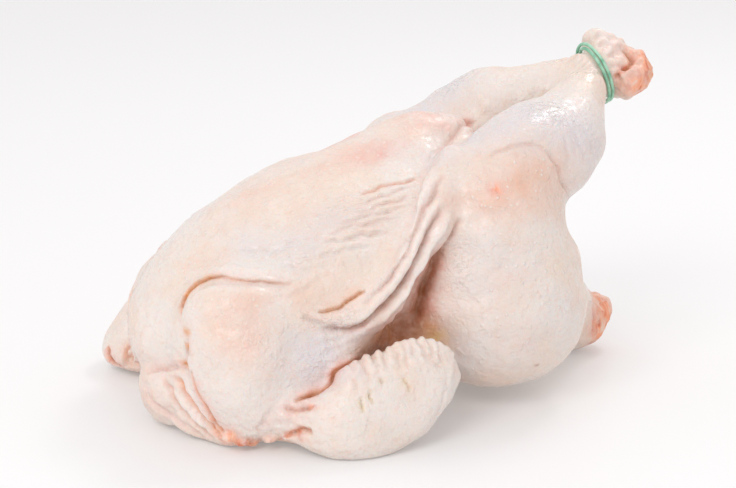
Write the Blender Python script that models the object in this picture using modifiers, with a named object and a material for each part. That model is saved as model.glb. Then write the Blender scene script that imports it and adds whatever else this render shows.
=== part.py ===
"""Whole raw chicken, plucked and skin on, lying on its back with its hocks tied by an elastic band.

Frame: +X from the neck to the tail, +Y to the bird's left side, +Z up. The origin is on the table,
under the middle of the bird's box. The bird is built as clay is: rounded lumps are laid along the
trunk and the limbs and fused into one skin, then creases are pressed into it. Positions and radii
along the bird are counted in steps of STEP metres.
"""
import math

import bmesh
import bpy
from mathutils import Matrix, Vector
from mathutils.kdtree import KDTree

STEP = 0.009
MM = 0.001

# How fine the clay is fused, and how many triangles the finished skin keeps.
MASS_VOXEL = 2.9 * MM
SKIN_VOXEL = 2.0 * MM
MASS_SMOOTHING = 14
SKIN_SMOOTHING = 4
SKIN_TRIANGLES = 8400
BALL_DETAIL = 3

# A crease is sampled this finely. It moves the skin up to CREASE_REACH of its widths away, its lip stands
# LIP_PLACE of its widths beside it, and at both ends it fades over one part in CREASE_FADE of its length.
CREASE_SAMPLES = 120
CREASE_REACH = 3.5
CREASE_FADE = 5
LIP_PLACE = 1.4
CREASE_SOFTENING = 2

# The middle of the bird's box lies this far from the point that the clay is laid out from.
MIDDLE_X = -0.51

# Skin this close to the table, in steps, lies flat on it.
TABLE_REACH = 0.05

NEAR = -1
FAR = 1

# How far the folded wings lean in at the top, in degrees.
WING_LEAN = 20

# The elastic band: an oval of two turns round both hocks, tipped back by TIE_TILT.
TIE_CENTRE = (10.8, 0.0, 14.55)
TIE_TILT = math.radians(22)
TIE_HALF_WIDTH = 1.2
TIE_HALF_HEIGHT = 1.55
BAND_RADIUS = 0.09
BAND_SPREAD = 0.115
BAND_POINTS = 30
BAND_CLEARANCE = 0.06
CROSSING = math.radians(50)
CROSSING_TIGHTNESS = 2.2
TIE_GROOVE = 0.3

# Beside the groove the skin eases out by TIE_SLACK, and skin further than TIE_REACH from the tie stays.
TIE_SLACK = 0.9
TIE_REACH = 2.4

# Colours and roughness.
RAW_SKIN = ((0.83, 0.66, 0.57), 0.35)
GREEN_ELASTIC = ((0.2, 0.55, 0.38), 0.4)


def clear_scene():
    for old in list(bpy.data.objects):
        bpy.data.objects.remove(old, do_unlink=True)


def smooth_line(points, samples):
    """Evenly spread samples along a smooth curve through rows of numbers."""
    rows = [points[0], *points, points[-1]]
    spans = len(points) - 1
    made = []
    for i in range(samples):
        u = i / (samples - 1) * spans
        k = min(int(u), spans - 1)
        t = u - k
        a, b, c, d = (rows[k + j] for j in range(4))
        made.append(tuple(
            0.5 * (2 * q + (r - p) * t + (2 * p - 5 * q + 4 * r - s) * t * t
                   + (3 * q - p - 3 * r + s) * t ** 3)
            for p, q, r, s in zip(a, b, c, d)
        ))
    return made


def lump(clay, centre, radii, turn=(0, 0, 0)):
    """One ellipsoid of clay. turn is in degrees about X, then Y, then Z."""
    place = Matrix.Translation(Vector(centre) * STEP)
    for angle, axis in zip(reversed(turn), "ZYX"):
        place = place @ Matrix.Rotation(math.radians(angle), 4, axis)
    stretch = Matrix.Diagonal((*(r * STEP for r in radii), 1))
    bmesh.ops.create_icosphere(clay, subdivisions=BALL_DETAIL, radius=1, matrix=place @ stretch)


def oval_rope(clay, stations, samples, turn=(0, 0, 0)):
    """Lumps laid closely along a smooth line. A station is x, y, z and the radii along X, Y, Z."""
    for x, y, z, *radii in smooth_line(stations, samples):
        lump(clay, (x, y, z), radii, turn)


def rope(clay, stations, samples):
    """Round lumps laid closely along a smooth line. A station is x, y, z, radius."""
    for x, y, z, r in smooth_line(stations, samples):
        lump(clay, (x, y, z), (r, r, r))


def trunk(clay):
    # x, height of the back, height of the keel, half width
    sections = [
        (-13.0, 1.9, 6.4, 2.6),
        (-11.8, 0.5, 8.4, 4.4),
        (-9.5, 0.0, 10.1, 6.0),
        (-6.5, 0.0, 11.4, 6.7),
        (-3.0, 0.1, 12.3, 6.6),
        (0.0, 0.2, 12.8, 6.2),
        (3.0, 0.4, 11.4, 5.4),
        (6.0, 0.6, 8.2, 4.2),
        (8.4, 0.8, 5.2, 2.8),
    ]
    oval_rope(clay, [
        (x, 0, (back + keel) / 2, 1.9, width, (keel - back) / 2)
        for x, back, keel, width in sections
    ], 34)


def keel(clay):
    """The breastbone stands a little proud along the top of the breast."""
    rope(clay, [
        (-11.8, 0.0, 7.3, 0.9),
        (-9.5, 0.0, 9.2, 1.1),
        (-5.2, 0.0, 10.8, 1.1),
        (-1.0, 0.0, 11.8, 1.1),
        (2.5, 0.0, 11.7, 1.2),
    ], 22)


def shoulder(clay, side, out, top, front):
    lump(clay, (front, side * (out - 0.7), 3.7), (3.0, 3.3, 3.7))
    lump(clay, (front, side * (out - 0.8), top - 3.0), (2.9, 2.7, 3.0))
    lump(clay, (-8.6, side * out, 3.2), (3.2, 2.6, 3.0))
    lump(clay, (-8.2, side * (out - 0.1), 5.1), (3.4, 2.1, 2.5))
    lump(clay, (-10.9, side * (out - 0.2), 1.8), (2.3, 2.7, 1.9))
    lump(clay, (-9.8, side * (out + 0.3), 1.5), (2.2, 2.3, 1.6))


def upper_arm(clay, side):
    """The wing's first bone, with its muscle, runs back from the shoulder along the flank."""
    rope(clay, [
        (-10.6, side * 5.4, 3.1, 1.7),
        (-9.0, side * 5.9, 3.5, 1.55),
        (-7.4, side * 6.1, 3.9, 1.35),
        (-6.1, side * 5.9, 4.2, 1.1),
    ], 12)


def thigh(clay, side):
    lump(clay, (2.5, side * 4.8, 4.6), (4.5, 3.8, 4.1), (0, -8, 0))
    lump(clay, (2.7, side * 4.7, 6.2), (4.0, 3.5, 3.6))
    oval_rope(clay, [
        (2.5, side * 4.8, 7.0, 3.5, 3.2, 3.0),
        (2.3, side * 4.7, 9.0, 3.3, 2.9, 2.8),
        (2.3, side * 4.4, 10.3, 3.0, 2.7, 2.4),
    ], 7)


def drumstick(clay, side, knee_x, lift):
    rope(clay, [
        (knee_x, side * 4.3, 10.5, 2.5),
        (knee_x + 2.0, side * 3.9, 11.4, 2.7),
        (6.5, side * 3.1, 12.0 + lift, 2.5),
        (8.2, side * 2.0, 13.1 + lift, 1.7),
        (9.4, side * 1.2, 13.85 + lift, 1.3),
        (10.4, side * 0.6, 14.4, 1.2),
    ], 22)


def hocks(clay):
    """Past the band the two joint ends spread, the far one on top and the near one behind it."""
    lump(clay, TIE_CENTRE, (1.2, 1.5, 1.8), (0, -math.degrees(TIE_TILT), 0))
    rope(clay, [
        (10.8, 0.75, 14.7, 1.2),
        (11.5, 0.75, 15.4, 1.15),
        (12.1, 0.65, 15.6, 1.0),
    ], 7)
    lump(clay, (11.3, 0.9, 16.1), (0.8, 0.8, 0.85))
    rope(clay, [
        (11.0, -0.7, 14.1, 1.2),
        (12.0, -0.65, 14.3, 1.1),
        (12.9, -0.5, 14.6, 0.95),
    ], 7)
    lump(clay, (13.1, -0.3, 15.2), (0.55, 0.8, 0.75))
    lump(clay, (13.2, -0.5, 14.1), (0.6, 0.7, 0.6))


def tail(clay):
    lump(clay, (9.2, 0.0, 1.5), (2.4, 2.0, 1.6))
    rope(clay, [
        (9.8, 0.0, 2.0, 1.3),
        (11.2, 0.0, 2.1, 0.95),
        (11.9, 0.0, 2.1, 0.6),
    ], 8)


def web(clay, side, slack):
    """Loose skin stretched from the flank of the breast up to the knee, gathered in two folds."""
    oval_rope(clay, [
        (0.8, side * 3.4, 10.8 - slack, 1.3, 1.3, 1.6),
        (-1.0, side * 4.8, 9.6 - slack, 1.3, 1.2, 1.7),
        (-2.6, side * 5.6, 8.0, 1.3, 1.2, 1.7),
        (-4.4, side * 6.1, 6.6, 1.4, 1.0, 1.5),
        (-6.4, side * 6.3, 5.6, 1.4, 0.9, 1.1),
    ], 18)
    rope(clay, [
        (0.3, side * 3.7, 12.2 - slack, 0.5),
        (-0.9, side * 4.7, 11.1 - slack, 0.5),
        (-2.3, side * 5.7, 9.6, 0.45),
        (-3.5, side * 6.4, 8.2, 0.45),
        (-4.9, side * 6.8 - side * slack, 7.0, 0.45),
        (-6.4, side * 7.0 - side * slack, 6.1, 0.42),
        (-8.0, side * 6.8 - side * slack, 5.9, 0.3),
    ], 40)
    rope(clay, [
        (-0.6, side * 5.0, 10.4, 0.5),
        (-1.5, side * 5.7, 9.3, 0.5),
        (-2.6, side * 6.4, 7.9, 0.5),
        (-3.8, side * 6.8, 6.7, 0.45),
        (-5.2, side * 7.0 - side * slack, 5.7, 0.42),
        (-6.8, side * 7.0 - side * slack, 5.0, 0.3),
    ], 34)


def wing(clay, side, forward, elbow):
    """The folded forearm: a flat paddle leaning on the flank, with quill bumps along its top edge.

    It lies forward by so many steps, and elbow is its front end's share of the full height.
    """
    oval_rope(clay, [
        (-9.4 - forward, side * 7.4, 1.5 * elbow, 1.0, 1.2, 1.1 * elbow),
        (-8.5 - forward, side * 8.5, 1.5 * elbow, 1.4, 1.05, 1.6 * elbow),
        (-7.2 - forward, side * 9.0, 1.7, 1.8, 1.05, 2.0),
        (-5.6 - forward, side * 8.9, 2.1, 2.0, 1.0, 2.1),
        (-4.2 - forward, side * 8.5, 2.8, 2.1, 1.0, 1.9),
        (-3.7 - forward, side * 8.4, 2.9, 1.8, 0.95, 1.7),
    ], 14, (side * WING_LEAN, 0, 0))
    # Skin fills the lower part of the gap between the wing and the flank.
    oval_rope(clay, [
        (-9.4 - 0.7 * forward, side * 6.4, 1.7 * elbow, 1.7, 1.8, 1.6 * elbow),
        (-8.0 - forward, side * 7.3, 1.5, 1.6, 1.6, 1.3),
        (-6.4 - 0.9 * forward, side * 7.2, 1.6, 1.7, 1.6, 1.3),
        (-4.8 - 0.7 * forward, side * 7.0, 2.0, 1.6, 1.5, 1.2),
    ], 12)
    quills = smooth_line([
        (-7.6, 8.1, 3.5),
        (-5.9, 8.1, 4.1),
        (-4.3, 8.2, 4.5),
        (-2.7, 8.3, 4.0),
        (-1.9, 8.4, 2.8),
    ], 9)
    for x, y, z in quills:
        lump(clay, (x - forward, side * y, z - 0.1), (0.38, 0.6, 0.5))


def neck_flap(clay):
    """The skin of the neck, folded under the breast and pleated towards the near shoulder."""
    oval_rope(clay, [
        (-12.8, -0.9, 2.1, 1.8, 2.0, 2.0),
        (-12.6, -2.2, 1.7, 1.7, 1.7, 1.7),
        (-12.3, -3.8, 1.2, 1.4, 1.4, 1.3),
        (-11.9, -5.0, 0.8, 1.2, 1.2, 1.0),
    ], 8)
    pleats = [
        [(-14.4, -1.6, 1.9), (-14.0, -2.6, 1.0), (-13.4, -3.7, 0.5), (-12.6, -4.5, 0.4)],
        [(-14.2, -2.5, 2.8), (-13.8, -3.3, 1.9), (-13.3, -4.1, 1.2), (-12.5, -4.9, 0.9)],
        [(-13.9, -3.3, 3.3), (-13.6, -4.0, 2.5), (-13.1, -4.6, 1.7), (-12.3, -5.2, 1.3)],
    ]
    for pleat in pleats:
        rope(clay, [(*place, 0.36) for place in pleat], 20)


def baked(obj):
    """The object's mesh with its modifiers applied. The object itself is removed."""
    bpy.context.scene.collection.objects.link(obj)
    graph = bpy.context.evaluated_depsgraph_get()
    mesh = bpy.data.meshes.new_from_object(obj.evaluated_get(graph))
    bpy.data.objects.remove(obj, do_unlink=True)
    return mesh


def fuse(clay, name, voxel, smoothing):
    """Turns overlapping lumps into one skin with soft joins."""
    mesh = bpy.data.meshes.new(name)
    clay.to_mesh(mesh)
    clay.free()
    obj = bpy.data.objects.new(name, mesh)
    remesh = obj.modifiers.new("fuse", "REMESH")
    remesh.mode = "VOXEL"
    remesh.voxel_size = voxel
    relax = obj.modifiers.new("relax", "SMOOTH")
    relax.factor = 0.5
    relax.iterations = smoothing
    return baked(obj)


def thin(mesh, triangles):
    obj = bpy.data.objects.new("thinned", mesh)
    fewer = obj.modifiers.new("fewer", "DECIMATE")
    fewer.ratio = triangles / (2 * len(mesh.polygons))
    return baked(obj)


def soften(mesh, passes):
    work = bmesh.new()
    work.from_mesh(mesh)
    for _ in range(passes):
        bmesh.ops.smooth_vert(
            work, verts=work.verts, factor=0.5, use_axis_x=True, use_axis_y=True, use_axis_z=True
        )
    work.to_mesh(mesh)
    work.free()


def search_tree(points):
    tree = KDTree(len(points))
    for i, p in enumerate(points):
        tree.insert(p, i)
    tree.balance()
    return tree


def press_crease(mesh, path, width, depth, lip=0.0, lip_side=(0, 0, 1)):
    """Sinks the skin along a smooth path laid on it, and raises a lip on one side of it."""
    skin = search_tree([v.co for v in mesh.vertices])
    line = search_tree([skin.find(Vector(p) * STEP)[0] for p in smooth_line(path, CREASE_SAMPLES)])
    reach = width * STEP
    upward = Vector(lip_side)
    moves = []
    for v in mesh.vertices:
        nearest, i, distance = line.find(v.co)
        if distance > CREASE_REACH * reach:
            continue
        share = i / (CREASE_SAMPLES - 1)
        fade = min(1.0, CREASE_FADE * share, CREASE_FADE * (1 - share))
        move = -depth * math.exp(-((distance / reach) ** 2))
        if lip and (v.co - nearest).dot(upward) > 0:
            move += lip * math.exp(-((distance / reach - LIP_PLACE) ** 2))
        moves.append((v.index, v.normal * move * fade * STEP))
    for index, move in moves:
        mesh.vertices[index].co += move


def press_creases(mesh):
    # Where the breast's skin hangs over the near shoulder.
    press_crease(mesh, [
        (-9.0, -5.8, 7.5),
        (-11.2, -5.2, 7.8),
        (-12.6, -3.8, 7.5),
        (-13.4, -3.3, 6.2),
        (-13.8, -3.8, 4.5),
        (-13.7, -4.5, 3.0),
        (-13.0, -5.4, 1.5),
    ], 0.32, 0.4, 0.15, (-0.3, 0.4, 0.6))
    for side in (NEAR, FAR):
        # The hollow of the flank, between the loose skin and the thigh.
        press_crease(mesh, [
            (-1.6, side * 6.5, 8.4),
            (-2.4, side * 6.6, 6.8),
            (-3.1, side * 6.3, 5.2),
            (-4.4, side * 6.2, 4.0),
        ], 0.75, 0.9)
        # Where the drumstick folds against the thigh.
        press_crease(mesh, [
            (1.2, side * 6.3, 12.4),
            (3.2, side * 6.0, 12.4),
            (5.0, side * 5.6, 11.4),
            (5.8, side * 5.2, 9.6),
        ], 0.35, 0.2)
    # The closed vent, under the tied legs.
    press_crease(mesh, [
        (8.9, -2.0, 4.4),
        (9.3, 0.0, 4.8),
        (8.9, 2.0, 4.4),
    ], 0.5, 0.5)


def tie_axes():
    """Unit vectors along the tied hocks and across them in the upright plane."""
    along = Vector((math.cos(TIE_TILT), 0, math.sin(TIE_TILT)))
    across = Vector((-math.sin(TIE_TILT), 0, math.cos(TIE_TILT)))
    return along, across


def pinch_hocks(mesh):
    """Keeps the skin inside the band's two turns and eases out on both sides of them."""
    along, across = tie_axes()
    room = BAND_RADIUS + BAND_CLEARANCE
    for v in mesh.vertices:
        from_tie = v.co / STEP - Vector(TIE_CENTRE)
        s, y, up = from_tie.dot(along), from_tie.y, from_tie.dot(across)
        if abs(s) > 2 * TIE_GROOVE or math.hypot(y, up) > TIE_REACH:
            continue
        ease = max(0.0, abs(s) - TIE_GROOVE) / TIE_GROOVE
        slack = TIE_SLACK * ease * ease
        share = math.hypot(y / (TIE_HALF_WIDTH - room + slack), up / (TIE_HALF_HEIGHT - room + slack))
        if share > 1:
            kept = from_tie - Vector((0, y, 0)) - across * up
            v.co = (Vector(TIE_CENTRE) + kept + (Vector((0, y, 0)) + across * up) / share) * STEP


def plain_material(name, colour, roughness):
    made = bpy.data.materials.new(name)
    made.use_nodes = True
    shader = made.node_tree.nodes["Principled BSDF"]
    shader.inputs["Base Color"].default_value = (*colour, 1)
    shader.inputs["Roughness"].default_value = roughness
    return made


def make_chicken(collection):
    clay = bmesh.new()
    trunk(clay)
    keel(clay)
    tail(clay)
    shoulder(clay, NEAR, 4.9, 8.2, -11.1)
    shoulder(clay, FAR, 4.0, 7.0, -10.6)
    for side in (NEAR, FAR):
        thigh(clay, side)
    drumstick(clay, NEAR, 2.2, 0.0)
    drumstick(clay, FAR, 3.6, 0.3)
    masses = fuse(clay, "masses", MASS_VOXEL, MASS_SMOOTHING)

    clay = bmesh.new()
    clay.from_mesh(masses)
    for side in (NEAR, FAR):
        upper_arm(clay, side)
    web(clay, NEAR, 0.0)
    web(clay, FAR, 0.5)
    wing(clay, NEAR, 0.0, 1.0)
    wing(clay, FAR, 3.3, 0.7)
    neck_flap(clay)
    hocks(clay)
    skin = fuse(clay, "chicken", SKIN_VOXEL, SKIN_SMOOTHING)
    bpy.data.meshes.remove(masses)

    press_creases(skin)
    soften(skin, CREASE_SOFTENING)
    pinch_hocks(skin)
    skin.transform(Matrix.Translation((-MIDDLE_X * STEP, 0, 0)))
    skin = thin(skin, SKIN_TRIANGLES)
    for v in skin.vertices:
        if v.co.z < TABLE_REACH * STEP:
            v.co.z = 0.0
    skin.shade_smooth()
    skin.materials.append(plain_material("raw_skin", *RAW_SKIN))
    collection.objects.link(bpy.data.objects.new("chicken", skin))


def make_band(collection):
    """One loop of elastic wound twice: the turns lie side by side and cross once, far side up."""
    along, across = tie_axes()
    curve = bpy.data.curves.new("elastic_band", "CURVE")
    curve.dimensions = "3D"
    curve.bevel_depth = BAND_RADIUS * STEP
    curve.bevel_resolution = 2
    spline = curve.splines.new("POLY")
    count = 2 * BAND_POINTS
    spline.points.add(count - 1)
    for i, point in enumerate(spline.points):
        turn = 4 * math.pi * i / count
        side = max(-1.0, min(1.0, CROSSING_TIGHTNESS * math.sin(turn / 2)))
        beside = BAND_SPREAD * side
        above = 2 * BAND_SPREAD * math.sqrt(1 - side * side) if math.cos(turn / 2) > 0 else 0.0
        angle = turn + CROSSING
        around = (
            Vector((0, 1, 0)) * (TIE_HALF_WIDTH + above) * math.cos(angle)
            + across * (TIE_HALF_HEIGHT + above) * math.sin(angle)
        )
        place = Vector(TIE_CENTRE) + around + along * beside - Vector((MIDDLE_X, 0, 0))
        point.co = (*(place * STEP), 1)
    spline.use_cyclic_u = True
    curve.materials.append(plain_material("green_elastic", *GREEN_ELASTIC))
    collection.objects.link(bpy.data.objects.new("elastic_band", curve))


def main():
    clear_scene()
    collection = bpy.data.collections.new("raw_chicken")
    bpy.context.scene.collection.children.link(collection)
    make_chicken(collection)
    make_band(collection)


main()
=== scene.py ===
# Whole raw chicken, skin on, lying on its back with its hocks tied by an elastic band
import math

import bmesh
import bpy
import numpy as np
from mathutils import Matrix, Vector
from mathutils.bvhtree import BVHTree
from mathutils.kdtree import KDTree


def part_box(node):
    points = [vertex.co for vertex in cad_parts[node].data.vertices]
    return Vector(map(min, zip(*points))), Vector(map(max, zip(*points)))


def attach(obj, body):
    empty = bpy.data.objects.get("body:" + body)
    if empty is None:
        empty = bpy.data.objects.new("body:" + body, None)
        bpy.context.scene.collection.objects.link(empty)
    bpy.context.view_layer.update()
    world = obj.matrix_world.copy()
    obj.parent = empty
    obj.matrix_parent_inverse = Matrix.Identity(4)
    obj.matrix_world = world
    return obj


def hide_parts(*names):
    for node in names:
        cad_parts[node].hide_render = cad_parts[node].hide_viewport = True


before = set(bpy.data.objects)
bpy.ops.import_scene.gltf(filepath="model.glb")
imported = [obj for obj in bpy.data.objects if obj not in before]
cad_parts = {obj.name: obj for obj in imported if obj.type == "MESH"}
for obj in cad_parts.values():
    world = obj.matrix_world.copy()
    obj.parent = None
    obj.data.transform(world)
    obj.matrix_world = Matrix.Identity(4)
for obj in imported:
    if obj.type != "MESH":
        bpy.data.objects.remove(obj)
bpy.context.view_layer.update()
scene = bpy.context.scene

birdLow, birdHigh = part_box("chicken")
gridSteps = 28.6  # the bird is laid out on a grid of this many steps, neck to hocks
gridStep = (birdHigh[0] - birdLow[0]) / gridSteps
gridMiddle = 0.51  # the grid's own zero lies this many steps towards the neck
# Paths are written for the near side, where y is negative, and mirrored for the far one
nearSide, farSide = 1, -1


def at(x, y, z, side=nearSide):
    return Vector(((x + gridMiddle) * gridStep, side * y * gridStep, z * gridStep))


# A smooth line through the points, with its samples spread evenly over the spans
def smoothLine(points, count):
    rows = [points[0], *points, points[-1]]
    spans = len(points) - 1
    line = []
    for i in range(count):
        u = i / (count - 1) * spans
        k = min(int(u), spans - 1)
        t = u - k
        a, b, c, d = (rows[k + j] for j in range(4))
        line.append(tuple(
            0.5 * (2 * q + (r - p) * t + (2 * p - 5 * q + 4 * r - s) * t * t
                   + (3 * q - p - 3 * r + s) * t ** 3)
            for p, q, r, s in zip(a, b, c, d)
        ))
    return line


# A rounded lump, stretched to its radii
def addLump(clay, centre, radii, side=nearSide):
    stretch = Matrix.Diagonal((*(r * gridStep for r in radii), 1))
    placed = Matrix.Translation(at(*centre, side)) @ stretch
    bmesh.ops.create_icosphere(clay, subdivisions=2, radius=1, matrix=placed)


# The piece's mesh as its modifiers leave it takes the old mesh's place
def bakeModifiers(piece):
    graph = bpy.context.evaluated_depsgraph_get()
    done = bpy.data.meshes.new_from_object(piece.evaluated_get(graph))
    old = piece.data
    piece.modifiers.clear()
    piece.data = done
    bpy.data.meshes.remove(old)
    return done


def addSmoothing(piece, name, factor, passes):
    smoothed = piece.modifiers.new(name, "SMOOTH")
    smoothed.factor = factor
    smoothed.iterations = passes


def newPiece(name, mesh):
    piece = bpy.data.objects.new(name, mesh)
    scene.collection.objects.link(piece)
    return piece


# A smooth copy of a node's mesh: its loose triangles merged, then subdivided
def smoothCopy(name, node, levels):
    clay = bmesh.new()
    clay.from_mesh(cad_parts[node].data)
    bmesh.ops.remove_doubles(clay, verts=clay.verts, dist=1e-6)
    mesh = bpy.data.meshes.new(name)
    clay.to_mesh(mesh)
    clay.free()
    piece = newPiece(name, mesh)
    rounded = piece.modifiers.new("rounded", "SUBSURF")
    rounded.levels = rounded.render_levels = levels
    bakeModifiers(piece)
    return piece


skinForm = {
    "levels": 2,  # how often the bird is subdivided before the lumps are fused to it
    "voxel": 0.00095,  # metres
    "softening": (0.5, 6),  # the factor and the passes of smoothing before the folds
    "easing": (0.35, 1),  # and after them
    "triangles": 196000,
    "farForward": 3.3,  # how much nearer the neck the far wing lies
    "farStrength": 0.85,  # the far side's folds are a little shallower
    # amber is partly painted shade in creases, so that painted shade is fainter on the far side too
    "farFaint": {"raw": 0.35, "amber": 0.5},  # and torn places fewer
}

# The quill stumps that make the wing's edge knobbly
wingQuills = {
    "count": 13,
    "edge": [(-7.6, -8.2, 3.5), (-5.9, -8.2, 4.15), (-4.3, -8.3, 4.5), (-2.9, -8.4, 4.1), (-2.1, -8.5, 3.0)],
    "radii": (0.25, 0.5, 0.62),
    "drop": 0.3,  # how far their middles lie below the edge
}

# Torn ends of skin under the shoulder, the loose end of the neck skin, and a knuckle of the hocks:
# each lump's middle and radii
scraps = [
    ((-12.4, -6.0, 0.7), (0.45, 0.3, 0.22)),
    ((-11.9, -6.2, 0.45), (0.35, 0.35, 0.2)),
    ((-11.4, -6.3, 0.4), (0.4, 0.25, 0.25)),
    ((-10.8, -6.9, 0.6), (0.35, 0.3, 0.2)),
    ((-10.2, -7.7, 0.9), (0.5, 0.25, 0.18)),
    ((-13.6, -1.4, 1.8), (1.3, 2.1, 1.8)),
    ((11.9, 0.3, 16.1), (0.45, 0.35, 0.3)),
]


def fuseSkin():
    piece = smoothCopy("birdSkin", "chicken", skinForm["levels"])
    clay = bmesh.new()
    clay.from_mesh(piece.data)
    for side, forward in ((nearSide, 0.0), (farSide, skinForm["farForward"])):
        for x, y, z in smoothLine(wingQuills["edge"], wingQuills["count"]):
            addLump(clay, (x - forward, y, z - wingQuills["drop"]), wingQuills["radii"], side)
    for centre, radii in scraps:
        addLump(clay, centre, radii)
    clay.to_mesh(piece.data)
    clay.free()
    fused = piece.modifiers.new("fused", "REMESH")
    fused.mode = "VOXEL"
    fused.voxel_size = skinForm["voxel"]
    addSmoothing(piece, "softened", *skinForm["softening"])
    bakeModifiers(piece)
    return piece


birdSkin = fuseSkin()
print("skin fused:", len(birdSkin.data.polygons), "faces")


def meshRows(source, field):
    rows = np.empty(len(source) * 3, dtype=np.float32)
    source.foreach_get(field, rows)
    return rows.reshape(-1, 3).astype(np.float64)


places = meshRows(birdSkin.data.vertices, "co")
facing = meshRows(birdSkin.data.vertex_normals, "vector")
skinTree = BVHTree.FromObject(birdSkin, bpy.context.evaluated_depsgraph_get())
shift = np.zeros_like(places)  # how far the folds move each vertex
# How strongly each colour, wetness or roughness shows at each vertex; the crease colour is painted shade in
# creases and hollows, pale is partly painted highlight on ridge crests, and amber is partly painted shade in
# creases
stainsAndShade = {name: np.zeros(len(places)) for name in (
    "blush", "rosy", "lilac", "raw", "fat", "crease", "amber", "pale", "wet", "creped", "goose"
)}

foldMaking = {
    "spacing": 0.1,  # grid steps between two samples of a path
    "evening": 4,  # how often a path is evened out once it lies on the skin
    "reach": 3.4,  # how many widths away a fold still moves the skin
    "fade": 0.18,  # the share of a path over which it fades at either end
    "fadeCurve": 0.7,  # below 1 the fade is rounded at the deep end
    "wander": 0.025,  # how far a path sways to either side
    "wrinkleWander": 0.055,  # and how far the breast's wrinkles do
    "wanderLength": 1.6,  # grid steps from one sway to the next
    "wanderStart": 5.0,  # sets each path's sway off from its neighbours'
    "wanderSecond": (0.5, 2.3),  # a smaller, quicker sway on top: its share and its quickness
    "evenDepth": 0.85,  # the share of a fold's depth that doesn't change along it
    "swayDepth": (0.15, 23.0, 7.0),  # the share that does, how quickly, and each path's own start
    "lipPlace": 1.25,  # a lip's crown, in widths from the fold's bottom
    "lipWidth": 0.85,
    "overhang": 0.7,  # how far a lip leans over its fold, as a share of its height
    "sameWay": 0.15,  # skin that faces another way than the path is left alone
}

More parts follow.
